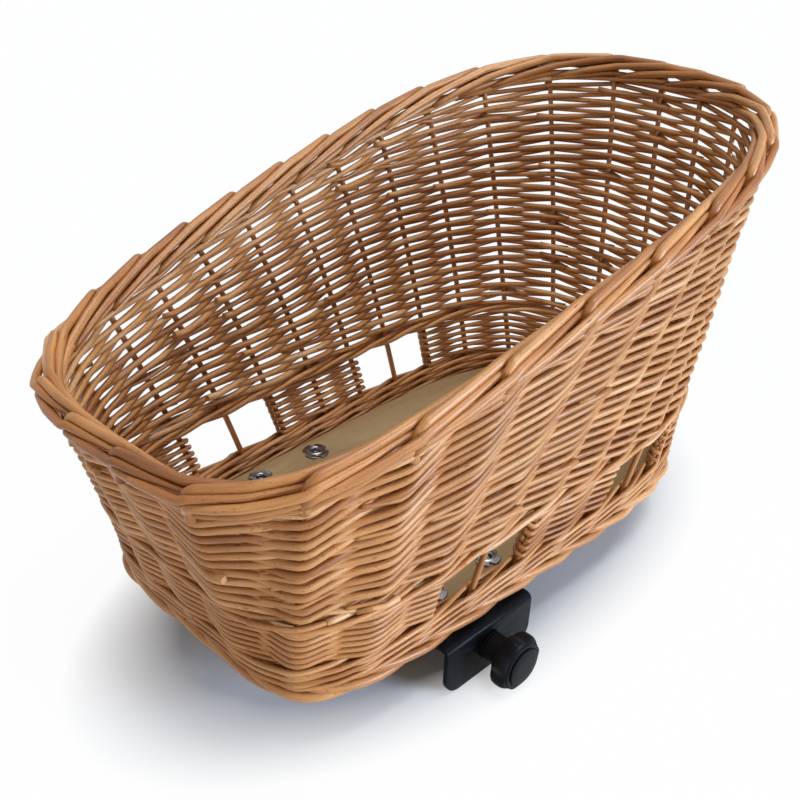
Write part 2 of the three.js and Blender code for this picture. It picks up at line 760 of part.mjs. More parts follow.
function makeNut() {
  const outline = new THREE.Shape();
  const corner = NUT_ACROSS_FLATS / Math.sqrt(3);
  for (let i = 0; i < 6; i += 1) {
    const angle = (Math.PI * i) / 3;
    if (i === 0) outline.moveTo(corner, 0);
    else outline.lineTo(corner * Math.cos(angle), corner * Math.sin(angle));
  }
  outline.closePath();
  outline.holes.push(roundHole(0, 0, holeRadius));
  const geometry = new THREE.ExtrudeGeometry(outline, {
    depth: NUT_THICKNESS,
    bevelEnabled: false,
    curveSegments: roundSides / 2,
  });
  geometry.rotateX(Math.PI / 2);
  return geometry.translate(0, nutBackY + NUT_THICKNESS, studZ);
}

function addClamp(side, turn) {
  const clamp = new THREE.Group();
  clamp.position.x = BRACKET_X;
  clamp.rotation.z = turn;
  const screwShift = SCREW_SHIFT * Math.cos(turn);
  addPiece(clamp, `bracket_${side}`, makeBracket(screwShift), blackCoat);
  addPiece(clamp, `washer_${side}`, makeWasher(), blackCoat);
  addPiece(clamp, `stud_${side}`, makeStud(), zinc);
  addPiece(clamp, `knob_${side}`, makeKnob(), blackPlastic);
  addPiece(clamp, `knob_cap_${side}`, makeCap(), blackPlastic);
  addPiece(clamp, `hook_plate_${side}`, makeHookPlate(), blackCoat);
  addPiece(clamp, `hook_nut_${side}`, makeNut(), zinc);
  basket.add(clamp);
}

addClamp('far', 0);
addClamp('near', Math.PI);

basket.position.z = groundDrop;
const part = new THREE.Group();
part.add(basket);
part.updateMatrixWorld(true);

export default part;
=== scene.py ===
import math
import random

import bmesh
import bpy
import numpy as np
from mathutils import Matrix, Vector


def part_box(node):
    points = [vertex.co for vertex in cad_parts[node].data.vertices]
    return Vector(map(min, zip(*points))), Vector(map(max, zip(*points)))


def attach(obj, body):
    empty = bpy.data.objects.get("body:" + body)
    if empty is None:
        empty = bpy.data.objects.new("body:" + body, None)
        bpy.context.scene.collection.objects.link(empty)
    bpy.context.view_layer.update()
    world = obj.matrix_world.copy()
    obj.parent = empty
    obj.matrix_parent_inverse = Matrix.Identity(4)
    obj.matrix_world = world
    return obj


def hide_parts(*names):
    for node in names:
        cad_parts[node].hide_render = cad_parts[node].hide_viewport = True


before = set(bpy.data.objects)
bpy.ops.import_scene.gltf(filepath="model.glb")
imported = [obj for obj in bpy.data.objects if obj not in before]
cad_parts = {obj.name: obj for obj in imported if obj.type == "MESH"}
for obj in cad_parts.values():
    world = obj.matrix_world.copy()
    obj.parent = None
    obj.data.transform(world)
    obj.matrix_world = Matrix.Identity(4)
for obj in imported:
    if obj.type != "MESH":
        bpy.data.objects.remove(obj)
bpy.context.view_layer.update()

mm = 0.001

# camera placed where the photograph was taken from
camera = {
    "eye": (-0.4825, -0.4309, 0.5042),
    "right": (0.706, -0.707, 0.032),
    "up": (0.343, 0.382, 0.858),
    "lens": 49.73,
    "sensor": 36.0,
    "clipStart": 0.01,
}


def addObject(name, data):
    added = bpy.data.objects.new(name, data)
    bpy.context.scene.collection.objects.link(added)
    return added


def addCamera():
    right = Vector(camera["right"]).normalized()
    back = right.cross(Vector(camera["up"])).normalized()
    up = back.cross(right)
    data = bpy.data.cameras.new("photoCamera")
    data.lens = camera["lens"]
    data.sensor_width = camera["sensor"]
    data.sensor_fit = "HORIZONTAL"
    data.clip_start = camera["clipStart"]
    eye = addObject("photoCamera", data)
    turn = Matrix((right, up, back)).transposed().to_4x4()
    eye.matrix_world = Matrix.Translation(camera["eye"]) @ turn
    bpy.context.scene.camera = eye


def newMaterial(name):
    material = bpy.data.materials.new(name)
    material.use_nodes = True
    tree = material.node_tree
    return material, tree, tree.nodes["Principled BSDF"]


def addNode(tree, kind, **values):
    node = tree.nodes.new("ShaderNode" + kind)
    for key, value in values.items():
        if key in node.inputs:
            node.inputs[key].default_value = value
        else:
            setattr(node, key, value)
    return node


def feed(tree, source, slot):  # a plain value or a socket
    if isinstance(source, (tuple, float, int)):
        slot.default_value = source
    else:
        tree.links.new(source, slot)


def dress(tree, shader, colour, rough, shine, metal=0.0):
    names = ("Base Color", "Roughness", "Specular IOR Level", "Metallic")
    for source, name in zip((colour, rough, shine, metal), names):
        feed(tree, source, shader.inputs[name])


def addRange(tree, source, *ends):  # ends: from low, from high, to low, to high
    node = addNode(tree, "MapRange")
    for key, value in zip(("From Min", "From Max", "To Min", "To Max"), ends):
        node.inputs[key].default_value = value
    feed(tree, source, node.inputs["Value"])
    return node.outputs[0]


def addMath(tree, operation, *sources, **values):
    node = addNode(tree, "Math", operation=operation, **values)
    for source, slot in zip(sources, node.inputs):
        feed(tree, source, slot)
    return node.outputs[0]


def addMix(tree, factor, first, second):
    mix = addNode(tree, "Mix", data_type="RGBA")
    for name, kind, source in (("Factor", "VALUE", factor), ("A", "RGBA", first), ("B", "RGBA", second)):
        feed(tree, source, next(s for s in mix.inputs if s.name == name and s.type == kind))
    return next(s for s in mix.outputs if s.type == "RGBA")


def addShade(tree, colour, share):
    shaded = addNode(tree, "VectorMath", operation="SCALE")
    feed(tree, colour, shaded.inputs[0])
    feed(tree, share, shaded.inputs["Scale"])
    return shaded.outputs[0]


def addMapped(tree, source, scale, kind, **values):  # a texture on stretched coordinates
    stretch = addNode(tree, "Mapping", Scale=scale)
    texture = addNode(tree, kind, Scale=1.0, **values)
    feed(tree, source, stretch.inputs["Vector"])
    feed(tree, stretch.outputs[0], texture.inputs["Vector"])
    return texture


def addNoise(tree, source, scale, detail, twist=0.0):
    texture = addMapped(tree, source, scale, "TexNoise", Detail=detail, Distortion=twist)
    return texture.outputs["Fac"]


def addSpots(tree, source, scale, *ends):
    cells = addMapped(tree, source, scale, "TexVoronoi", Randomness=1.0)
    return addRange(tree, cells.outputs["Distance"], *ends)


def addBump(tree, shader, height, strength, distance):
    bump = addNode(tree, "Bump", Strength=strength, Distance=distance)
    feed(tree, height, bump.inputs["Height"])
    feed(tree, bump.outputs[0], shader.inputs["Normal"])


studio = {
    "floorSize": 14.0,
    "floorColour": (0.83, 0.915, 1.0, 1),  # as seen
    "floorBounce": (0.88, 0.82, 0.74, 1),  # as it lights the basket
    "floorRough": 0.9,
    "floorShine": 0.1,
    "floorScale": (5.1, 9.6, 1),  # the foot's oval as a circle of radius one
    "floorPaintedLight": (1.04, 1.47, 0.0, 0.96),  # painted light: a white glow seen from the foot outwards, which covers the floor's shadow there
    "skyColour": (1.0, 0.915, 0.8, 1),
    "skySeen": (1, 1, 1, 1),
    "skyStrength": 0.17,
}
suns = {
    "keyLight": {"strength": 3.15, "colour": (0.89, 1.045, 1.28), "spread": 26, "towards": (0.42, -0.88, 0.2)},
    "topLight": {"strength": 1.9, "colour": (1.0, 0.98, 0.95), "spread": 28, "towards": (0.1, -0.06, 1.0)},
    "sideLight": {"strength": 0.26, "colour": (1.0, 0.92, 0.8), "spread": 30, "towards": (-0.9, -0.22, 0.45)},
}


def addSun(name, strength, colour, spread, towards):
    lamp = bpy.data.lights.new(name, "SUN")
    lamp.energy = strength
    lamp.color = colour
    lamp.angle = math.radians(spread)
    sun = addObject(name, lamp)
    sun.rotation_euler = Vector(towards).to_track_quat("Z", "Y").to_euler()


def seenDirectly(tree):  # 1 to the camera and in reflections, 0 to the light that falls on the basket
    path = addNode(tree, "LightPath").outputs
    seen = addMath(tree, "MAXIMUM", path["Is Camera Ray"], path["Is Glossy Ray"])
    return addMath(tree, "MAXIMUM", seen, path["Is Transmission Ray"])


def addFloor():
    form = bmesh.new()
    bmesh.ops.create_grid(form, x_segments=2, y_segments=2, size=studio["floorSize"] / 2)
    mesh = bpy.data.meshes.new("studioFloor")
    form.to_mesh(mesh)
    form.free()
    floor = addObject("studioFloor", mesh)
    paper, tree, shader = newMaterial("floorPaper")
    direct = seenDirectly(tree)
    colour = addMix(tree, direct, studio["floorBounce"], studio["floorColour"])
    dress(tree, shader, colour, studio["floorRough"], studio["floorShine"])
    # painted light: past the foot's outline the floor glows white to the camera and in reflections, over its own
    # shadow
    stretch = addNode(tree, "Mapping", Scale=studio["floorScale"])
    feed(tree, addNode(tree, "TexCoord").outputs["Object"], stretch.inputs["Vector"])
    away = addNode(tree, "VectorMath", operation="LENGTH")
    feed(tree, stretch.outputs[0], away.inputs[0])
    paintedLight = addRange(tree, away.outputs["Value"], *studio["floorPaintedLight"])
    glow = addNode(tree, "Emission", Strength=1.0)
    blend = addNode(tree, "MixShader")
    feed(tree, addMath(tree, "MULTIPLY", paintedLight, direct), blend.inputs["Fac"])
    feed(tree, shader.outputs[0], blend.inputs[1])
    feed(tree, glow.outputs[0], blend.inputs[2])
    feed(tree, blend.outputs[0], tree.nodes["Material Output"].inputs["Surface"])
    mesh.materials.append(paper)


def addSky():
    world = bpy.data.worlds.new("studioSky")
    world.use_nodes = True
    bpy.context.scene.world = world
    tree = world.node_tree
    sky = tree.nodes["Background"]
    direct = seenDirectly(tree)
    feed(tree, addMix(tree, direct, studio["skyColour"], studio["skySeen"]), sky.inputs["Color"])
    feed(tree, addRange(tree, direct, 0, 1, studio["skyStrength"], 1), sky.inputs["Strength"])


addCamera()
addFloor()
addSky()
for name, sun in suns.items():
    addSun(name, **sun)
bpy.context.scene.view_settings.view_transform = "Standard"
print("camera and studio set")

# the wall that the willow follows, in millimetres, as in the solids; low and tall are the ends' powers
foot = {"length": 390, "width": 208, "centreX": -6.4, "low": 6.5, "tall": 4.0, "taper": 0.028, "middleX": 1.6}
rim = {"length": 496, "width": 267, "centreX": 0.0, "low": 3.9, "tall": 2.55, "taper": 0.067, "middleX": 7.6}
wall = {
    "stakes": 28,
    "ground": 37.5,  # foot's underside above the floor
    "lowHeight": 155, "middleHeight": 217, "tallHeight": 262,
    "swell": 6,
    "flare": 1.2,
    "leanSide": 0.27, "leanTall": 0.17, "leanLow": 0.06, "leanSkew": 0.3,
    "rimHalf": 8.3,  # rim border's half height and its gap
    "waleLow": 9.3, "windowLow": 26.6, "sidingLow": 60.9,
    # how far the siding hangs lower along the near side: stakes and millimetres
    "nearDip": ((7.5, 10, 11, 12, 13, 16, 18.5), (0, 6.0, 6.8, 3.2, 2.0, 2.6, 0)),
    "openWeave": (-0.3, 1.0),  # the rods cross the far side steeply and the tall end level
    # stakes from an end's or side's middle where it stops, and over which it fades
    "tallReach": (4.8, 2.4),
    "farReach": (7, 2),
}
# how finely the wall is worked out
fine = {"margin": 0.01, "halvings": 60, "samples": 721, "nudge": 0.05, "settling": 14, "bending": 12}
stakeCount = wall["stakes"]
tallEnd = stakeCount * 3 // 4


def ovalPoint(oval, angle):
    c, s = np.cos(angle), np.sin(angle)
    power = np.where(c < 0, oval["low"], oval["tall"])
    reach = (np.abs(c) ** power + np.abs(s) ** power) ** (-1 / power)
    across = 1 + oval["taper"] * reach * c
    x = oval["centreX"] + oval["length"] / 2 * reach * c
    return np.stack([x, oval["width"] / 2 * across * reach * s], -1)


def measureOval(oval):  # stations count stakes from the far side's middle, by the low end
    low, high = fine["margin"], math.pi - fine["margin"]
    for _ in range(fine["halvings"]):
        middle = (low + high) / 2
        if ovalPoint(oval, np.array(middle))[0] > oval["middleX"]:
            low = middle
        else:
            high = middle
    oval["stations"], oval["angles"], oval["perimeter"] = [], [], 0
    near = 2 * math.pi - low
    for start, end, first in ((low, near, 0), (near, 2 * math.pi + low, stakeCount / 2)):
        angles = np.linspace(start, end, fine["samples"])
        steps = np.linalg.norm(np.diff(ovalPoint(oval, angles), axis=0), axis=1)
        run = np.concatenate([[0], np.cumsum(steps)])
        oval["perimeter"] += run[-1]
        oval["stations"].append(first + run / run[-1] * stakeCount / 2)
        oval["angles"].append(angles)
    oval["stations"] = np.concatenate(oval["stations"])
    oval["angles"] = np.concatenate(oval["angles"])


def stationAngle(oval, station):
    return np.interp(np.mod(station, stakeCount), oval["stations"], oval["angles"])


measureOval(foot)
measureOval(rim)


def rimHeight(station):
    u = ovalPoint(rim, stationAngle(rim, station))[..., 0] / (rim["length"] / 2)
    rise = (wall["tallHeight"] - wall["lowHeight"]) / 2
    sag = (wall["tallHeight"] + wall["lowHeight"]) / 2 - wall["middleHeight"]
    return wall["middleHeight"] + rise * u + sag * u**2 + wall["swell"] * (u - u**3)


def wallMiddle(station, height):
    share = np.clip(height / rimHeight(station), 0, 1) ** wall["flare"]
    low = ovalPoint(foot, stationAngle(foot, station))
    high = ovalPoint(rim, stationAngle(rim, station))
    return low + (high - low) * share[..., None]


def wallPoint(station, height, outward):  # height is above the foot's underside, the point above the floor
    station, height, outward = np.broadcast_arrays(*[np.asarray(v, float) for v in (station, height, outward)])
    along = wallMiddle(station + fine["nudge"], height) - wallMiddle(station - fine["nudge"], height)
    along = along / np.linalg.norm(along, axis=-1, keepdims=True)
    middle = wallMiddle(station, height)
    x = middle[..., 0] + along[..., 1] * outward
    y = middle[..., 1] - along[..., 0] * outward
    return np.stack([x, y, height + wall["ground"]], -1)


def leaned(stake, height):  # the station that a leaning stake has reached
    angle = stationAngle(foot, stake)
    c, s = np.cos(angle), np.sin(angle)
    endLean = np.where(c > 0, wall["leanTall"], wall["leanLow"])
    lean = wall["leanSide"] * s * s * (1 + wall["leanSkew"] * c) + endLean * c * c
    return stake + lean * height * stakeCount / foot["perimeter"]


def tallShare(station, reach=wall["tallReach"]):  # 1 at the tall end, 0 on the sides
    stop, fade = reach
    return np.clip((stop - np.abs(np.mod(station, stakeCount) - tallEnd)) / fade, 0, 1)


def openShare(station):
    farSide, tallSide = wall["openWeave"]
    stop, fade = wall["farReach"]
    tall = tallShare(station)
    away = np.abs(np.mod(station + stakeCount / 2, stakeCount) - stakeCount / 2)
    return tallSide * tall + farSide * (1 - tall) * np.clip((stop - away) / fade, 0, 1)


def sidingLowAt(stake):
    return wall["sidingLow"] - np.interp(stake, *wall["nearDip"])


def wallTop(stake):
    height = np.full(np.shape(stake), float(wall["lowHeight"]))
    for _ in range(fine["settling"]):
        height = rimHeight(leaned(stake, height)) - wall["rimHalf"]
    return height


def stakePoint(stake, height, outward, woven=False):  # outward is square to the wall, which leans
    height = np.asarray(height, float)
    station = leaned(np.asarray(stake, float), height)
    lean = wallPoint(station, height + 1, 0) - wallPoint(station, height - 1, 0)
    away = wallPoint(station, height, 1) - wallPoint(station, height, 0)
    slope = (lean * away).sum(-1) / 2 * (1 - (openShare(station) if woven else 0))
    return wallPoint(station, height - outward * slope, outward)


allStakes = np.arange(stakeCount)
stakeTops = wallTop(allStakes)
print("wall laid out, tops from %.0f to %.0f mm" % (stakeTops.min(), stakeTops.max()))


def rodLine(targets, bend, steps=4):  # straight runs with a short bend at each target
    targets = np.array(targets, float)
    corners = targets.copy()
    for _ in range(fine["bending"]):
        before, after = np.roll(corners, 1, 0), np.roll(corners, -1, 0)
        corners = (targets - bend / 4 * (before + after)) / (1 - bend / 2)
        corners[0], corners[-1] = targets[0], targets[-1]
    line = [corners[0]]
    for before, corner, after in zip(corners, corners[1:], corners[2:]):
        enter = corner + (before - corner) * bend
        leave = corner + (after - corner) * bend
        for u in np.linspace(0, 1, steps + 1):
            line.append((1 - u) ** 2 * enter + 2 * u * (1 - u) * corner + u * u * leave)
    return np.array(line + [corners[-1]])


def smoothLine(keys, count):  # Catmull-Rom through rows of numbers
    keys = np.array(keys, float)
    padded = np.concatenate([[2 * keys[0] - keys[1]], keys, [2 * keys[-1] - keys[-2]]])
    line = []
    for share in np.linspace(0, len(keys) - 1, count):
        i = min(int(share), len(keys) - 2)
        u = share - i
        a, b, c, d = padded[i : i + 4]
        bowed = 2 * b + (c - a) * u + (2 * a - 5 * b + 4 * c - d) * u**2
        line.append(0.5 * (bowed + (3 * b - a - 3 * c + d) * u**3))
    return np.array(line)


def settle(piece, body, slot, *nodes):
    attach(piece, body)
    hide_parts(*nodes)
    print("made", piece.name, len(piece.data.polygons), "faces")


bark = {"shift": 40, "radius": 0.002}  # where each rod lies in the willow's textures, in metres


def weave(name, node, rods, rounding=2):  # each rod: points, radii and a tint from 0 to 1
    sides = 4 + 2 * rounding
    curve = bpy.data.curves.new(name, "CURVE")
    curve.dimensions = "3D"
    curve.bevel_depth = mm
    curve.bevel_resolution = rounding
    coords, tints = [], []
    dice = random.Random(name)
    for points, radii, tint in rods:
        points = np.asarray(points)
        radii = np.broadcast_to(np.asarray(radii, float), len(points))
        spline = curve.splines.new("POLY")
        spline.points.add(len(points) - 1)
        spline.points.foreach_set("co", np.column_stack([points * mm, np.ones(len(points))]).ravel())
        spline.points.foreach_set("radius", np.ascontiguousarray(radii))
        run = np.concatenate([[0], np.cumsum(np.linalg.norm(np.diff(points, axis=0), axis=1))]) * mm
        run += dice.uniform(0, bark["shift"])
        turn = np.arange(sides) / sides * 2 * math.pi
        ring = np.empty((len(points), sides, 3))
        ring[..., 0] = np.cos(turn) * bark["radius"]
        ring[..., 1] = np.sin(turn) * bark["radius"]
        ring[..., 2] = run[:, None]
        coords.append(ring.reshape(-1, 3))
        tints.append(np.full(len(points) * sides, tint))
    holder = addObject(name + "Line", curve)
    bpy.context.view_layer.update()
    mesh = bpy.data.meshes.new_from_object(holder.evaluated_get(bpy.context.evaluated_depsgraph_get()))
    bpy.data.objects.remove(holder)
    bpy.data.curves.remove(curve)
    mesh.name = name
    coords, tints = np.concatenate(coords), np.concatenate(tints)
    if len(coords) != len(mesh.vertices):
        raise RuntimeError("%s has %d vertices, not %d" % (name, len(mesh.vertices), len(coords)))
    mesh.attributes.new("rodCoord", "FLOAT_VECTOR", "POINT").data.foreach_set("vector", coords.ravel())
    mesh.attributes.new("rodTint", "FLOAT", "POINT").data.foreach_set("value", tints)
    form = bmesh.new()
    form.from_mesh(mesh)
    bmesh.ops.holes_fill(form, edges=[e for e in form.edges if e.is_boundary], sides=0)
    bmesh.ops.recalc_face_normals(form, faces=form.faces)
    form.to_mesh(mesh)
    form.free()
    counts = np.zeros(len(mesh.polygons), np.int32)
    mesh.polygons.foreach_get("loop_total", counts)
    cut = counts == sides
    mesh.attributes.new("rodCut", "FLOAT", "FACE").data.foreach_set("value", cut.astype(float))
    mesh.polygons.foreach_set("use_smooth", ~cut)
    mesh.materials.clear()
    mesh.materials.append(willow)
    settle(addObject(name, mesh), "basket", "willow", node)


willowFinish = {
    "tones": (
        (0.0, (0.19, 0.054, 0.011)),
        (0.35, (0.40, 0.15, 0.036)),
        (0.7, (0.605, 0.292, 0.1)),
        (1.0, (0.83, 0.525, 0.275)),
    ),
    "cutColour": (0.50, 0.29, 0.14, 1),
    "budColour": (0.10, 0.035, 0.012, 1),
    "rough": (0.3, 0.52),
    "shine": 0.55,
    # noises: scale across and along a rod, then detail
    "patch": ((120, 120, 16), 2.0),
    "patchTint": (0.3, 0.7, -0.2, 0.16),
    "streak": ((1500, 1500, 60), 3.0),
    "streakShade": (0.25, 0.75, 0.74, 1.16),
    # spots: scale, then distance from and to, strength from and to
    "bud": ((260, 260, 55), 0.06, 0.14, 0.75, 0.0),
    "fleck": ((650, 650, 260), 0.1, 0.22, 0.6, 0.0),
    "bump": (0.35, 0.0004),
}


def makeWillow():
    finish = willowFinish
    material, tree, shader = newMaterial("willowBark")
    tint = addNode(tree, "Attribute", attribute_name="rodTint").outputs["Fac"]
    cut = addNode(tree, "Attribute", attribute_name="rodCut").outputs["Fac"]
    coord = addNode(tree, "Attribute", attribute_name="rodCoord").outputs["Vector"]
    patch = addNoise(tree, coord, *finish["patch"])
    streak = addNoise(tree, coord, *finish["streak"])
    shift = addRange(tree, patch, *finish["patchTint"])
    ramp = addNode(tree, "ValToRGB")
    while len(ramp.color_ramp.elements) < len(finish["tones"]):
        ramp.color_ramp.elements.new(0.5)
    for stop, (place, colour) in zip(ramp.color_ramp.elements, finish["tones"]):
        stop.position = place
        stop.color = (*colour, 1)
    feed(tree, addMath(tree, "ADD", tint, shift, use_clamp=True), ramp.inputs["Fac"])
    shade = addRange(tree, streak, *finish["streakShade"])
    grained = addShade(tree, ramp.outputs["Color"], shade)
    bud = addSpots(tree, coord, *finish["bud"])
    fleck = addSpots(tree, coord, *finish["fleck"])
    spots = addMath(tree, "MAXIMUM", bud, fleck)
    budded = addMix(tree, spots, grained, finish["budColour"])
    rough = addRange(tree, streak, 0, 1, *finish["rough"])
    dress(tree, shader, addMix(tree, cut, budded, finish["cutColour"]), rough, finish["shine"])
    addBump(tree, shader, streak, *finish["bump"])
    return material


willow = makeWillow()
print("willow finish made")

stakeSizes = {
    "radius": 2.1, "tipRadius": 1.9, "start": 4.0, "intoRim": 7.0, "points": 14, "tints": (0.35, 0.6), "seed": 4,
}
stakeDice = random.Random(stakeSizes["seed"])
for stake in allStakes:
    heights = np.linspace(stakeSizes["start"], stakeTops[stake] + stakeSizes["intoRim"], stakeSizes["points"])
    points = wallPoint(leaned(stake, heights), heights, 0)
    radii = np.linspace(stakeSizes["radius"], stakeSizes["tipRadius"], len(points))
    number = "%02d" % (stake + 1)
    tint = stakeDice.uniform(*stakeSizes["tints"])
    weave("stakeRod" + number, "stake_" + number, [(points, radii, tint)])

# siding: rows in front of one stake and behind the next; pairs of short rows make the slope
rows = {
    "pitch": 3.28,
    "openPitch": 0.11,  # wider and thinner at the tall end
    "openReach": (8.0, 5.5),
    "openRadius": -0.07,
    "radius": 2.08,
    "reach": 3.6,  # rod's middle from the stake's middle
    "dive": (0.62, 0.88),  # a rod goes in quickly past a stake and comes out slowly
    "bends": (0.12, 0.2),
    "lowWale": {"height": 7.6, "radius": 1.8, "reach": 3.8, "start": 24},
    "topWale": {"height": 8.0, "radius": 1.85, "reach": 3.9, "start": 22},
    "waleRise": 3.0,  # the top wale reaches up under the rim border
    "spare": 0.5,
    "runs": (4, 7),  # pairs of stakes that one rod passes
    "lastRun": 5,  # stakes left over that the last rod takes too
    "outsideEnds": 0.35,
    "startTuck": (0.3, 1.5),  # stakes back and outward
    "endOut": 1.4,
    "tail": (0.24, 0.8, 1.8),  # stakes on, up and further outward
    "shortEnds": (0.38, 0.72),  # room that a short row takes at its last stakes
    "shortest": 7,  # stakes that the shortest rows pass
    "shortMiddle": 2,  # stakes by which the rods of a short pair meet off the middle
    "turn": (0.42, 0.62),  # stakes past the end and share of the radius where a short row turns back
    "thinnest": 0.4, "thickness": (0.93, 1.07), "taper": (1.08, 0.92),
    "tints": (0.62, 0.13, 0.12, 0.95),  # mean, spread, darkest and palest
    "seed": 11,
}
rowStakes = range(stakeCount // 4, stakeCount // 4 + stakeCount)  # once round, from the low end's middle


def layRows():
    low = sidingLowAt(allStakes) + rows["lowWale"]["height"]
    tall = stakeTops + rows["waleRise"] - rows["topWale"]["height"] - low - rows["spare"]
    fitting = tall / (rows["pitch"] * (1 + rows["openPitch"] * tallShare(allStakes, rows["openReach"])))
    full = int(round(fitting.min() / 2) * 2)
    counts = full + 2 * np.maximum(0, np.round((fitting - full) / 2)).astype(int)
    for step in range(1, stakeCount // 2 + 1):  # rows only get fewer away from the tall end
        for way in (-1, 1):
            here, nearer = (tallEnd + way * step) % stakeCount, (tallEnd + way * (step - 1)) % stakeCount
            counts[here] = min(counts[here], counts[nearer])
    while np.count_nonzero(counts == counts.max()) < rows["shortest"]:
        counts = np.minimum(counts, counts.max() - 2)
    pairs = (counts.max() - full) // 2
    dice = random.Random(rows["seed"])
    places = [(j + 0.5) / pairs * full for j in range(pairs)]
    dice.shuffle(places)
    order = [(r, None, 0) for r in range(full)]
    for j, place in enumerate(places):
        order += [(place - 0.5, j, 0), (place - 0.5, j, 1)]
    order.sort(key=lambda row: (row[0], -1 if row[1] is None else row[1], row[2]))
    room = np.zeros((len(order), stakeCount))
    for k, (_, j, _) in enumerate(order):
        room[k] = 1 if j is None else counts >= full + 2 * (j + 1)
        if j is not None:
            present = [s for s in rowStakes if room[k, s % stakeCount]]
            for inset, share in enumerate(rows["shortEnds"]):
                for end in (present[inset], present[-1 - inset]):
                    room[k, end % stakeCount] = share
    heights = low + (np.cumsum(room, 0) - room / 2) * (tall / room.sum(0))
    return order, heights, room


def rowSide(row, stake):
    return 1 if (row + stake) % 2 == 0 else -1


def taper(count, dice):
    thick = dice.uniform(*rows["thickness"])
    ends = rows["taper"] if dice.random() < 0.5 else rows["taper"][::-1]
    return thick * np.linspace(*ends, count)


def rowTint(dice):
    mean, spread, darkest, palest = rows["tints"]
    return min(palest, max(darkest, dice.gauss(mean, spread)))


def weaveRun(row, heights, room, first, last, ends=(True, True)):  # x, y, z and radius at stakes first to last
    reach, radius = rows["reach"], rows["radius"]
    past, depth = rows["dive"]

    def target(stake, height, outward, thick=radius):
        return [*stakePoint(stake, height, outward, True), thick]

    targets = []
    for stake in range(first, last + 1):
        here, after = stake % stakeCount, (stake + 1) % stakeCount
        squeezed = rows["thinnest"] + (1 - rows["thinnest"]) * room[row, here]
        thick = radius * squeezed * (1 + rows["openRadius"] * float(tallShare(here)))
        targets.append(target(here, heights[row, here], rowSide(row, stake) * reach, thick))
        if rowSide(row, stake) > 0 and stake < last:
            level = heights[row, here] * (1 - past) + heights[row, after] * past
            targets.append(target(here + past, level, -depth * reach, thick))
    side = rowSide(row, first)
    if ends[0]:
        here = first % stakeCount
        back, out = rows["startTuck"]
        targets.insert(0, target(here - back, heights[row, here], side * out))
    if ends[1]:
        here = last % stakeCount
        on, up, out = rows["tail"]
        targets[-1] = target(here, heights[row, here], side * (reach + rows["endOut"]))
        targets.append(target(here + on, heights[row, here] + up, side * (reach + out)))
    return targets


def rowRod(targets, dice):
    line = rodLine(targets, dice.uniform(*rows["bends"]), steps=3)
    return line[:, :3], line[:, 3] * taper(len(line), dice), rowTint(dice)


def shortRows(row, heights, room, first, last, dice):  # out and back, turning round the end stakes
    past, thin = rows["turn"]

    def turnPoint(stake, way):
        here = stake % stakeCount
        level = (heights[row, here] + heights[row + 1, here]) / 2
        return [*stakePoint(here + way * past, level, 0), rows["radius"] * thin]

    middle = first + (last - first) // 2 + dice.randint(-rows["shortMiddle"], rows["shortMiddle"])
    middle += rowSide(row, middle) > 0
    upperMiddle = middle + 1 if rowSide(row + 1, middle + 1) < 0 else middle
    back = weaveRun(row, heights, room, first, middle, (False, True))
    over = weaveRun(row + 1, heights, room, first, upperMiddle, (False, True))
    parts = [over[::-1] + [turnPoint(first, -1)] + back]
    back = weaveRun(row, heights, room, middle, last, (True, False))
    over = weaveRun(row + 1, heights, room, upperMiddle, last, (True, False))
    parts.append(back + [turnPoint(last, 1)] + over[::-1])
    return [rowRod(part, dice) for part in parts]


def sidingRods():
    order, heights, room = layRows()
    dice = random.Random(rows["seed"] + 1)
    rods = []
    for row, (_, pair, upper) in enumerate(order):
        if pair is None:
            start = dice.randrange(stakeCount)
            outside = dice.random() < rows["outsideEnds"]
            start += (rowSide(row, start) > 0) != outside
            last = start
            while last < start + stakeCount:
                first = last
                last = first + 2 * dice.randint(*rows["runs"])
                if last > start + stakeCount - rows["lastRun"]:
                    last = start + stakeCount
                rods.append(rowRod(weaveRun(row, heights, room, first, last), dice))
        elif not upper:
            present = [s for s in rowStakes if room[row, s % stakeCount]]
            rods += shortRows(row, heights, room, present[0], present[-1], dice)
    return rods


# four rods twined round the stakes, each in front of two and behind two
waleTwine = {
    "rise": (-0.25, 0.25, 0.25, -0.25),
    "out": (1, 1, -1, -1),
    "between": ((1, 0), (0, 0.25), (-1, 0), (0, -0.25)),
    "bend": 0.34,
    "joinShift": 20,
    "seed": 21,
}


def waleRods(lowAt, dice, height, radius, reach, start):
    rods = []
    for rod in range(4):
        targets = []
        for step in range(stakeCount + 2):
            stake = (start + step) % stakeCount
            phase = (step - rod) % 4
            z = lowAt(stake) + height * (0.5 + waleTwine["rise"][phase])
            targets.append(stakePoint(stake, z, waleTwine["out"][phase] * reach))
            side, rise = waleTwine["between"][phase]
            following = (stake + 1) % stakeCount
            z = (lowAt(stake) + lowAt(following)) / 2 + height * (0.5 + rise)
            targets.append(stakePoint(stake + 0.5, z, side * reach))
        line = rodLine(targets, waleTwine["bend"], steps=3)
        join = len(line) // 2 + dice.randint(-waleTwine["joinShift"], waleTwine["joinShift"])
        for a, b in ((0, join), (join, len(line))):
            part = line[max(0, a - 2) : b]
            rods.append((part, radius * taper(len(part), dice), rowTint(dice)))
    return rods


def topWaleLow(stake):
    return stakeTops[stake] - rows["topWale"]["height"] + rows["waleRise"]


waleDice = random.Random(waleTwine["seed"])
sidingParts = sidingRods()
sidingParts += waleRods(sidingLowAt, waleDice, **rows["lowWale"])
sidingParts += waleRods(topWaleLow, waleDice, **rows["topWale"])
weave("sidingWeave", "siding", sidingParts)

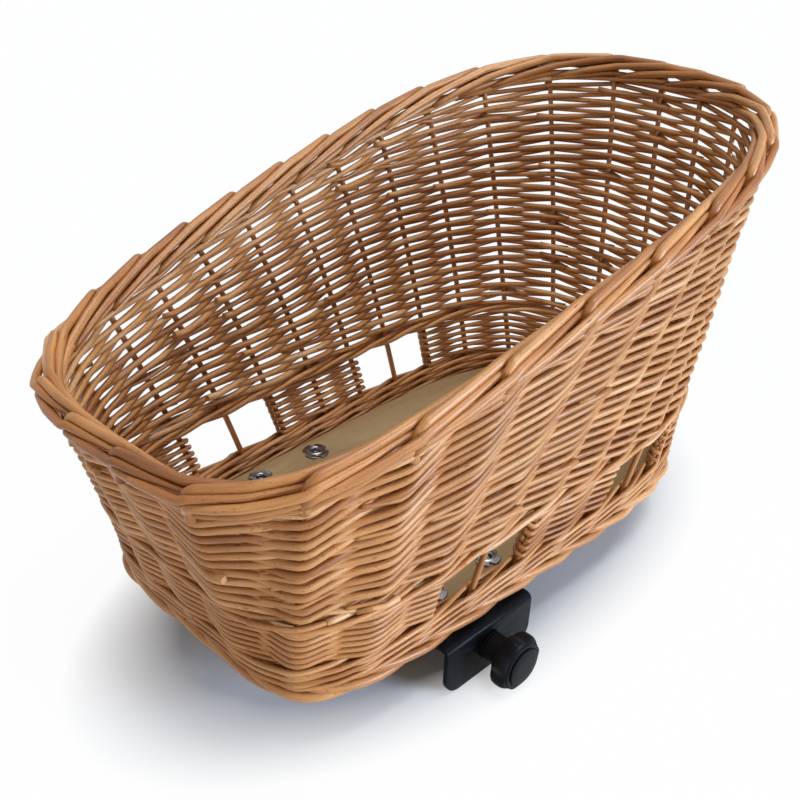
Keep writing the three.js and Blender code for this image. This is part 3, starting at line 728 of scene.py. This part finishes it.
# window band: four panels of thin rods that turn back round their edge stakes
panels = {
    "windows": (2, 12, 16, 26),  # stakes that stand bare
    "rows": 12, "radius": 1.6, "reach": 3.4, "gap": 0.3, "bend": 0.2,
    "edge": 0.11,  # stakes by which a turn stands past the edge stake
    "parts": 4, "shortestPart": 40, "thickness": (0.95, 1.05), "tint": -0.1, "seed": 31,
}
panelNodes = {
    "lowEndPanel": "panel_low_end",
    "nearSidePanel": "panel_near_side",
    "tallEndPanel": "panel_tall_end",
    "farSidePanel": "panel_far_side",
}


def panelRods(first, last, dice):
    def levelAt(stake, row):
        tall = sidingLowAt(stake % stakeCount) - panels["gap"] - wall["windowLow"]
        return wall["windowLow"] + (row + 0.5) * tall / panels["rows"]

    targets = []
    for row in range(panels["rows"]):
        line = []
        for stake in range(first, last + 1):
            line.append(stakePoint(stake % stakeCount, levelAt(stake, row), rowSide(row, stake) * panels["reach"]))
        end, way = (first, -1) if row % 2 else (last, 1)
        targets += line[::way]
        targets.append(stakePoint(end + way * panels["edge"], levelAt(end, row + 0.5), 0))
    line = rodLine(targets[:-1], panels["bend"])
    rods = []
    cuts = list(range(0, len(line), max(panels["shortestPart"], len(line) // panels["parts"]))) + [len(line)]
    for a, b in zip(cuts, cuts[1:]):
        part = line[max(0, a - 1) : b]
        if len(part) > 3:
            thick = panels["radius"] * dice.uniform(*panels["thickness"])
            rods.append((part, thick, rowTint(dice) + panels["tint"]))
    return rods


panelDice = random.Random(panels["seed"])
for k, (name, node) in enumerate(panelNodes.items()):
    first = panels["windows"][k] + 1
    last = (panels["windows"] + (panels["windows"][0] + stakeCount,))[k + 1] - 1
    weave(name, node, panelRods(first, last, panelDice))

bottomWale = {"rounds": 3, "height": 17.0, "radius": 1.55, "reach": 3.6, "start": 20}
waleParts = []
for turn in range(bottomWale["rounds"]):
    tall = bottomWale["height"] / bottomWale["rounds"]
    low = wall["waleLow"] + turn * tall
    start = bottomWale["start"] + turn
    waleParts += waleRods(lambda s, z=low: z, waleDice, tall, bottomWale["radius"], bottomWale["reach"], start)
weave("bottomWaleRods", "bottom_wale", waleParts)

# rim border: at each stake a pair of rods comes up, crosses the rim in nearly straight runs and ends inside
rimRoll = {
    "straight": 0.45,
    "firmKeys": 2,  # keys that keep their place along the wall
    "slip": 0.03, "wander": 0.2, "bend": 0.18,
    "longRun": 0.4,  # stakes; longer runs get a key in their middle
    "thickness": (0.94, 1.06), "tint": -0.1,
    # keys: stakes along, outward, up
    "stakeRod": {
        "radius": 2.9,
        "tipRadius": 2.4,
        "keys": (
            (0.02, 0.8, -16.0), (0.02, 1.2, -7.0), (0.03, 2.4, 0.6), (0.12, 2.2, 3.7), (1.0, -2.7, 4.4),
            (1.97, -6.4, -0.8), (2.5, -6.2, -4.6), (2.95, -5.0, -9.0),
        ),
    },
    "outerRod": {
        "radius": 2.8,
        "tipRadius": 2.3,
        "keys": (
            (-1.0, 1.5, -10.0), (-0.93, 4.8, -5.8), (-0.5, 6.2, -4.0), (0.0, 6.5, -1.2), (0.12, 5.9, 0.2),
            (1.0, -1.4, -0.8), (1.4, -4.4, -6.0),
        ),
    },
}
# foot border: each rod comes down beside its stake, slants out past the next, rolls under and ends inside
footRoll = {
    "radius": 3.1, "tipRadius": 2.8, "straight": 0.15, "firmKeys": 1,
    "slip": 0.05, "wander": 0.15, "thickness": (0.94, 1.06), "tint": -0.05,
    "keys": (
        (0.06, 0.4, 15.0), (0.15, 1.8, 9.6), (0.5, 3.8, 7.0), (1.0, 4.9, 5.0), (1.35, 4.4, 3.5),
        (1.8, 1.4, 3.0), (2.3, -2.6, 3.2), (2.75, -3.4, 6.0),
    ),
    "points": 48,
}


def borderPoints(stake, keys, straight, atRim):
    place = stake + keys[:, 0]
    base = np.floor(place)
    share = place - base

    def centre(stakes):
        stakes = np.mod(stakes, stakeCount)
        stations = leaned(stakes, wallTop(stakes) if atRim else np.zeros(np.shape(stakes)))
        height = rimHeight(stations) if atRim else np.zeros(np.shape(stations))
        return wallPoint(stations, height, 0), wallPoint(stations, height, 1)

    here, away = centre(place)
    start, _ = centre(base)
    end, _ = centre(base + 1)
    chord = start + (end - start) * share[:, None]
    middle = here * (1 - straight) + chord * straight
    return middle + (away - here) * keys[:, 1, None] + np.outer(keys[:, 2], (0, 0, 1))


def wandered(roll, rod, dice):  # the rod's keys, each a little off its place
    keys = np.array(rod["keys"])
    keys[roll["firmKeys"] :, 0] += dice.uniform(-roll["slip"], roll["slip"])
    keys[:, 1:] += [[dice.uniform(-1, 1) * roll["wander"], dice.uniform(-1, 1) * roll["wander"]] for _ in keys]
    return keys


def borderRod(roll, rod, points, dice):
    radii = np.linspace(rod["radius"], rod["tipRadius"], len(points)) * dice.uniform(*roll["thickness"])
    return points, radii, rowTint(dice) + roll["tint"]


def rimRods(dice):
    rods = []
    for stake in allStakes:
        for rod in (rimRoll["stakeRod"], rimRoll["outerRod"]):
            keys = wandered(rimRoll, rod, dice)
            wide = np.diff(keys[:, 0]) > rimRoll["longRun"]
            keys = np.insert(keys, np.nonzero(wide)[0] + 1, ((keys[1:] + keys[:-1]) / 2)[wide], axis=0)
            points = rodLine(borderPoints(stake, keys, rimRoll["straight"], True), rimRoll["bend"])
            rods.append(borderRod(rimRoll, rod, points, dice))
    return rods


def footRods(dice):
    rods = []
    for stake in allStakes:
        keys = smoothLine(wandered(footRoll, footRoll, dice), footRoll["points"])
        points = borderPoints(stake, keys, footRoll["straight"], False)
        rods.append(borderRod(footRoll, footRoll, points, dice))
    return rods


borderDice = random.Random(41)
weave("rimRods", "rim_border", rimRods(borderDice), 4)
weave("footRods", "foot_border", footRods(borderDice), 3)

# woven bottom under the board: long sticks with weavers across them
bottom = {
    "samples": 561, "inset": 4.2, "middle": 3.0,
    "stickGap": 14.0, "stickEdge": 4, "stickRadius": 1.3, "stickPoints": 20, "stickTint": -0.15,
    "weaverGap": 2.95, "weaverEdge": 1, "weaverRadius": 1.22, "thickness": (0.95, 1.03), "tint": -0.1,
    "clear": 2,  # between a stick and the end of a weaver
    "reach": 1.72, "wander": 0.2, "bend": 0.3, "seed": 51,
}


def bottomRods():
    outline = wallPoint(np.linspace(0, stakeCount, bottom["samples"]), 0.0, -bottom["inset"])
    farHalf = outline[outline[:, 1] > 0]
    farHalf = farHalf[np.argsort(farHalf[:, 0])]
    dice = random.Random(bottom["seed"])
    z = wall["ground"] + bottom["middle"]
    edge = bottom["weaverEdge"]
    xs = np.arange(farHalf[0, 0] + edge, farHalf[-1, 0] - edge, bottom["weaverGap"])
    halves = np.interp(xs, farHalf[:, 0], farHalf[:, 1])
    most = int((halves.max() - bottom["stickEdge"]) / bottom["stickGap"])
    sticks = [(k + 0.5) * bottom["stickGap"] for k in range(-most, most)]
    rods = []
    for y in sticks:
        inside = xs[halves > abs(y) + bottom["clear"]]
        line = np.linspace((inside[0], y, z), (inside[-1], y, z), bottom["stickPoints"])
        rods.append((line, bottom["stickRadius"], rowTint(dice) + bottom["stickTint"]))
    for i, (x, half) in enumerate(zip(xs, halves)):
        targets = [(x, -half, z)]
        for k, y in enumerate(sticks):
            if abs(y) < half - bottom["clear"]:
                side = 1 if (i + k) % 2 else -1
                targets.append((x + dice.uniform(-bottom["wander"], bottom["wander"]), y, z + side * bottom["reach"]))
        targets.append((x, half, z))
        line = rodLine(targets, bottom["bend"], steps=2)
        thick = bottom["weaverRadius"] * dice.uniform(*bottom["thickness"])
        rods.append((line, thick, rowTint(dice) + bottom["tint"]))
    return rods


weave("bottomWeave", "woven_bottom", bottomRods(), 1)
print("willow work done")

# softened copies of solids: lengths in metres, angles in degrees
soft = {"weld": 0.00002, "flat": 1, "sharp": 35, "segments": 2, "profile": 0.5, "crease": 28}


def faceOrder(face):
    first, second, *_, last = sorted(v.index for v in face.verts)
    return (first * 1e5 + second) * 1e5 + last


def finishForm(form, name, crease, material):
    form.verts.index_update()
    form.faces.sort(key=faceOrder)  # the same in each run
    mesh = bpy.data.meshes.new(name)
    form.to_mesh(mesh)
    form.free()
    mesh.shade_smooth()
    mesh.set_sharp_from_angle(angle=math.radians(crease))
    mesh.materials.append(material)
    return addObject(name, mesh)


def softCopy(node, name, edge, material):  # the solid with small rounds along its sharp edges
    form = bmesh.new()
    form.from_mesh(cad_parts[node].data)
    bmesh.ops.remove_doubles(form, verts=form.verts, dist=soft["weld"])
    bmesh.ops.dissolve_limit(form, angle_limit=math.radians(soft["flat"]), verts=form.verts, edges=form.edges)
    steep = math.radians(soft["sharp"])
    sharp = [e for e in form.edges if len(e.link_faces) == 2 and e.calc_face_angle() > steep]
    bmesh.ops.bevel(form, geom=sharp, offset=edge * mm, offset_type="OFFSET", affect="EDGES",
                    segments=soft["segments"], profile=soft["profile"], material=-1, clamp_overlap=True)
    return finishForm(form, name, soft["crease"], material)


# floor board in birch plywood; noises: scale, detail and twist
board = {
    "edge": 0.5,
    "plies": 5,
    "plyMargin": 0.0001,
    "face": ((0.275, 0.184, 0.088, 1), (0.37, 0.264, 0.134, 1)),
    "core": (0.22, 0.125, 0.055, 1),
    "rough": (0.5, 0.68),
    "shine": 0.5,
    "grain": ((14, 260, 60), 6.0, 0.6),
    "grainShare": 0.6,
    "broad": ((5, 16, 5), 2.0),
    "broadShare": (0.3, 0.7, 0.0, 0.4),
    "faceRange": (0.2, 0.75, 0, 1),
    "pore": ((160, 2400, 400), 2.0),
    "poreShade": (0.35, 0.7, 0.86, 1.06),
    "bump": (0.2, 0.0003),
}


def makePlywood():
    material, tree, shader = newMaterial("birchPlywood")
    place = addNode(tree, "TexCoord").outputs["Object"]
    grain, pore, broad = [addNoise(tree, place, *board[key]) for key in ("grain", "pore", "broad")]
    broadShare = addRange(tree, broad, *board["broadShare"])
    figure = addMath(tree, "MULTIPLY_ADD", grain, board["grainShare"], broadShare)
    face = addMix(tree, addRange(tree, figure, *board["faceRange"]), *board["face"])
    lowest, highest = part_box("floor_board")
    parts = addNode(tree, "SeparateXYZ")
    feed(tree, place, parts.inputs[0])
    margin = board["plyMargin"]
    level = addRange(tree, parts.outputs["Z"], lowest.z - margin, highest.z + margin, 0, board["plies"])
    odd = addMath(tree, "MODULO", addMath(tree, "FLOOR", level), 2.0)
    edged = addMix(tree, odd, face, board["core"])
    shade = addRange(tree, pore, *board["poreShade"])
    rough = addRange(tree, grain, 0, 1, *board["rough"])
    dress(tree, shader, addShade(tree, edged, shade), rough, board["shine"])
    addBump(tree, shader, pore, *board["bump"])
    return material


settle(softCopy("floor_board", "floorBoard", board["edge"], makePlywood()), "basket", "plywood", "floor_board")

# hardware finishes; cloud and fine are noises: scale and detail
zincFinish = {
    "colours": ((0.17, 0.178, 0.19, 1), (0.36, 0.37, 0.385, 1)),
    "rough": (0.2, 0.4),
    "metal": 1.0,
    "shine": 0.5,
    "cloud": ((220, 220, 220), 3.0),
    "fine": ((900, 3200, 900), 2.0),
    "bump": (0.15, 0.0001),
}
coatFinish = {
    "colours": ((0.0055, 0.0066, 0.009, 1), (0.013, 0.0145, 0.018, 1)),
    "worn": (0.58, 0.72, 0, 0.5),  # how much of the second colour shows
    "rough": (0.26, 0.38),
    "shine": 0.045,
    "cloud": ((130, 130, 130), 5.0),
    "fine": ((700, 700, 700), 1.0),
    "bump": (0.12, 0.0002),
}
plasticFinish = {
    "colours": ((0.006, 0.007, 0.009, 1), (0.01, 0.0115, 0.0145, 1)),
    "rough": (0.34, 0.48),
    "shine": 0.06,
    "cloud": ((90, 90, 90), 3.0),
    "fine": ((1600, 1600, 1600), 2.0),
    "bump": (0.25, 0.0001),
}
cloudRange = (0.3, 0.7)


def makeFinish(name, finish):
    material, tree, shader = newMaterial(name)
    place = addNode(tree, "TexCoord").outputs["Object"]
    cloud, grain = [addNoise(tree, place, *finish[key]) for key in ("cloud", "fine")]
    share = addRange(tree, cloud, *finish["worn"]) if "worn" in finish else cloud
    colour = addMix(tree, share, *finish["colours"])
    rough = addRange(tree, cloud, *cloudRange, *finish["rough"])
    dress(tree, shader, colour, rough, finish["shine"], finish.get("metal", 0.0))
    addBump(tree, shader, grain, *finish["bump"])
    return material


zinc = makeFinish("zincPlate", zincFinish)
blackCoat = makeFinish("blackCoat", coatFinish)
blackPlastic = makeFinish("blackPlastic", plasticFinish)
turnedCrease = 32


def turned(name, rings, sides, at, out, material, shape=None, bored=True):  # rings: radius, along, share of the shape
    axis = Vector(out)
    side = Vector((1, 0, 0))
    other = axis.cross(side)
    form = bmesh.new()
    bmesh.ops.create_circle(form, segments=sides, radius=1.0, cap_ends=False)
    form.verts.ensure_lookup_table()
    angles = [math.atan2(v.co.y, v.co.x) for v in form.verts]
    ring, first, edges = list(form.verts), list(form.verts), list(form.edges)
    for k, (radius, along, share) in enumerate(rings):
        if k:
            grown = bmesh.ops.extrude_edge_only(form, edges=edges)["geom"]
            edges = [g for g in grown if isinstance(g, bmesh.types.BMEdge) and all(v not in ring for v in g.verts)]
            fresh = {v for e in edges for v in e.verts}
            ring = [next(e.other_vert(v) for e in v.link_edges if e.other_vert(v) in fresh) for v in ring]
        for v, angle in zip(ring, angles):
            reach = radius * (1 + share * (shape(angle, along) - 1)) if shape else radius
            v.co = Vector(at) + (axis * along + (side * math.cos(angle) + other * math.sin(angle)) * reach) * mm
    if bored:
        start = [e for e in form.edges if e.is_boundary and e.verts[0] in first]
        bmesh.ops.bridge_loops(form, edges=edges + start)
    else:
        bmesh.ops.holes_fill(form, edges=[e for e in form.edges if e.is_boundary], sides=0)
    bmesh.ops.recalc_face_normals(form, faces=form.faces)
    return finishForm(form, name, turnedCrease, material)


def nodeMiddle(node):
    low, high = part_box(node)
    return (low + high) / 2


def hexagon(angle, along):  # flats at the given radius
    turn = (angle + math.pi / 6) % (math.pi / 3) - math.pi / 6
    return 1 / math.cos(turn)


# tee nuts: pronged flange with four bites, raised collar and a bored barrel
teeNut = {
    "flange": 1.5,
    "bite": 0.7, "biteStart": 0.58, "biteEnd": 0.94, "biteSlopes": (7, 2.2),
    "sides": 96,
    "rings": (
        (4.2, -6.3, 0), (4.2, -0.2, 0), (5.0, 0, 0), (9.2, 0, 1), (9.5, 0.25, 1), (9.5, 1.0, 1), (9.1, 1.35, 1),
        (7.2, 1.5, 0.35), (5.9, 1.5, 0), (5.4, 1.62, 0), (4.9, 1.95, 0), (4.4, 2.0, 0), (3.9, 1.75, 0),
        (3.45, 1.1, 0), (3.3, 0.6, 0), (3.3, -6.3, 0),
    ),
}
# button screws from below, with a hexagon socket; the shank's end shows inside the tee nut
screw = {
    "head": 3.4,
    "socketEnd": 1,
    "radius": 2.9, "depth": 0.42, "pitch": 1.0, "ringsATurn": 4, "threadStart": -3.2, "tip": 0.7, "tipRadius": 2.3,
    "sides": 24,
    "headRings": (
        (1.95, 1.1, 1), (2.0, 3.3, 1), (2.35, 3.4, 0), (3.3, 3.36, 0), (4.3, 2.9, 0), (5.05, 2.1, 0),
        (5.35, 1.2, 0), (5.4, 0.5, 0), (5.3, 0, 0), (2.9, 0, 0), (2.9, -3.0, 0),
    ),
}


def biteShape(angle, along):
    place = (angle / (math.pi / 2)) % 1
    if place < teeNut["biteStart"] or place > teeNut["biteEnd"]:
        return 1.0
    share = (place - teeNut["biteStart"]) / (teeNut["biteEnd"] - teeNut["biteStart"])
    into, back = teeNut["biteSlopes"]
    return 1 - (1 - teeNut["bite"]) * min(1, share * into) * min(1, (1 - share) * back)


def threadRings(start, end):
    count = int(abs(end - start) / screw["pitch"] * screw["ringsATurn"])
    return [(screw["radius"], start + (end - start) * k / count, 1) for k in range(count + 1)]


def threadShape(angle, along):  # one groove that winds round the shank
    turn = (along / screw["pitch"] + angle / (2 * math.pi)) % 1
    return 1 - screw["depth"] / screw["radius"] * abs(2 * turn - 1)


def socketShape(angle, along):
    return hexagon(angle, along) if along > screw["socketEnd"] else threadShape(angle, along)


for k in range(1, 5):
    middle = nodeMiddle("tee_nut_%d" % k)
    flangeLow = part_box("tee_nut_%d" % k)[1].z - teeNut["flange"] * mm
    at = (middle.x, middle.y, flangeLow)
    piece = turned("teeNut%d" % k, teeNut["rings"], teeNut["sides"], at, (0, 0, 1), zinc, biteShape)
    settle(piece, "basket", "zinc", "tee_nut_%d" % k)
    low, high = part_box("bracket_screw_%d" % k)
    length = (high.z - low.z) / mm - screw["head"]
    shank = threadRings(screw["threadStart"], -length + screw["tip"])
    rings = [*screw["headRings"], *shank, (screw["tipRadius"], -length, 0)]
    at = (middle.x, middle.y, low.z + screw["head"] * mm)
    piece = turned("bracketScrew%d" % k, rings, screw["sides"], at, (0, 0, -1), zinc, socketShape, bored=False)
    settle(piece, "basket", "zinc", "bracket_screw_%d" % k)

# clamps: folded brackets, hook plates, washers, nuts, studs, knobs and cap discs
clamp = {"bracketEdge": 0.7, "bracketShelf": 70, "bracketSheet": 3.3, "hookEdge": 0.5}  # sheet with its gap
washer = {
    "sides": 48,
    "rings": ((3.5, 0, 0), (9.5, 0, 0), (9.8, 0.25, 0), (9.8, 1.25, 0), (9.5, 1.5, 0), (3.5, 1.5, 0)),
}
hookNut = {
    "sides": 36,
    "rings": (
        (3.3, 0.3, 0), (3.0, 0.0, 0), (4.75, 0.0, 0), (5.0, 0.5, 0.75), (5.0, 0.9, 1), (5.0, 4.1, 1),
        (5.0, 4.5, 0.75), (4.75, 5.0, 0), (3.3, 5.0, 0), (3.0, 4.7, 0),
    ),
}
stud = {
    "sides": 20,
    "startRings": ((2.2, 0, 0), (2.9, 0.7, 0)),
    "thread": (0.8, 50),
    "threadEnd": 50.2, "shoulder": 3, "shoulderRadius": 5.0, "chamfer": 0.3,
    "end": 2.5,  # short of the solid's end, under the cap
}
knob = {
    "sides": 84,
    "lobes": 7,
    "lobeDepth": 0.115,
    "rings": (
        (3.3, 0, 0), (9.0, 0, 0), (9.4, 0.4, 0), (9.4, 3.6, 0), (9.2, 7.0, 0), (9.5, 9.4, 0), (10.6, 10.6, 0.1),
        (13.6, 11.3, 0.4), (17.0, 12.4, 0.8), (18.5, 14.2, 1), (19.0, 16.6, 1), (19.0, 19.6, 1),
        (18.7, 21.8, 0.95), (17.9, 23.2, 0.75), (16.6, 23.9, 0.3), (15.8, 23.9, 0), (15.6, 23.4, 0),
        (15.4, 23.9, 0), (15.1, 24.6, 0), (14.6, 25.0, 0), (13.6, 25.1, 0), (13.0, 24.9, 0), (12.75, 24.2, 0),
        (3.3, 24.2, 0),
    ),
}
knobCap = {
    "sides": 56,
    "rings": (
        (1.0, 0.3, 0), (11.2, 0.0, 0), (11.6, 0.3, 0), (12.2, -0.5, 0), (12.5, 0.0, 0), (12.5, 0.6, 0),
        (12.2, 1.0, 0), (11.6, 1.2, 0), (8.0, 1.5, 0), (4.0, 1.6, 0), (1.0, 1.62, 0),
    ),
}


def lobeShape(angle, along):
    return 1 - knob["lobeDepth"] * (1 - math.cos(knob["lobes"] * angle)) / 2


def innerEnd(node, out):  # the y where a piece of a clamp begins
    low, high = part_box(node)
    return low.y if out > 0 else high.y


def studRings(end, out):
    low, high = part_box("stud" + end)
    reach = (high.y - low.y) / mm
    shelfStart = abs(innerEnd("bracket" + end, out) - innerEnd("stud" + end, out)) / mm
    shoulder = shelfStart + clamp["bracketShelf"] - clamp["bracketSheet"]
    radius, wide = screw["radius"], stud["shoulderRadius"]
    start = shoulder - stud["shoulder"]
    rings = [*stud["startRings"], *threadRings(*stud["thread"]), (radius, stud["threadEnd"], 0), (radius, start, 0)]
    rings += [(wide - stud["chamfer"], start, 0), (wide, start + stud["chamfer"], 0), (wide, shoulder, 0)]
    return rings + [(radius, shoulder, 0), (radius, reach - stud["end"], 0)]


for sideName, out in (("Near", -1), ("Far", 1)):
    end = "_" + sideName.lower()
    middle = nodeMiddle("stud" + end)
    piece = softCopy("bracket" + end, "bracket" + sideName, clamp["bracketEdge"], blackCoat)
    settle(piece, "basket", "black_coat", "bracket" + end)
    piece = softCopy("hook_plate" + end, "hookPlate" + sideName, clamp["hookEdge"], blackCoat)
    settle(piece, "hook" + end, "black_coat", "hook_plate" + end)

    def onStud(name, node, body, slot, sizes, material, shape=None, bored=True):
        at = (middle.x, innerEnd(node + end, out), middle.z)
        piece = turned(name + sideName, sizes["rings"], sizes["sides"], at, (0, out, 0), material, shape, bored)
        settle(piece, body, slot, node + end)

    onStud("washer", "washer", "basket", "black_coat", washer, blackCoat)
    onStud("hookNut", "hook_nut", "hook" + end, "zinc", hookNut, zinc, hexagon)
    onStud("stud", "stud", "knob" + end, "zinc", dict(stud, rings=studRings(end, out)), zinc, threadShape, False)
    onStud("knob", "knob", "knob" + end, "black_plastic", knob, blackPlastic, lobeShape)
    onStud("knobCap", "knob_cap", "knob" + end, "black_plastic", knobCap, blackPlastic, bored=False)
print("hardware done")
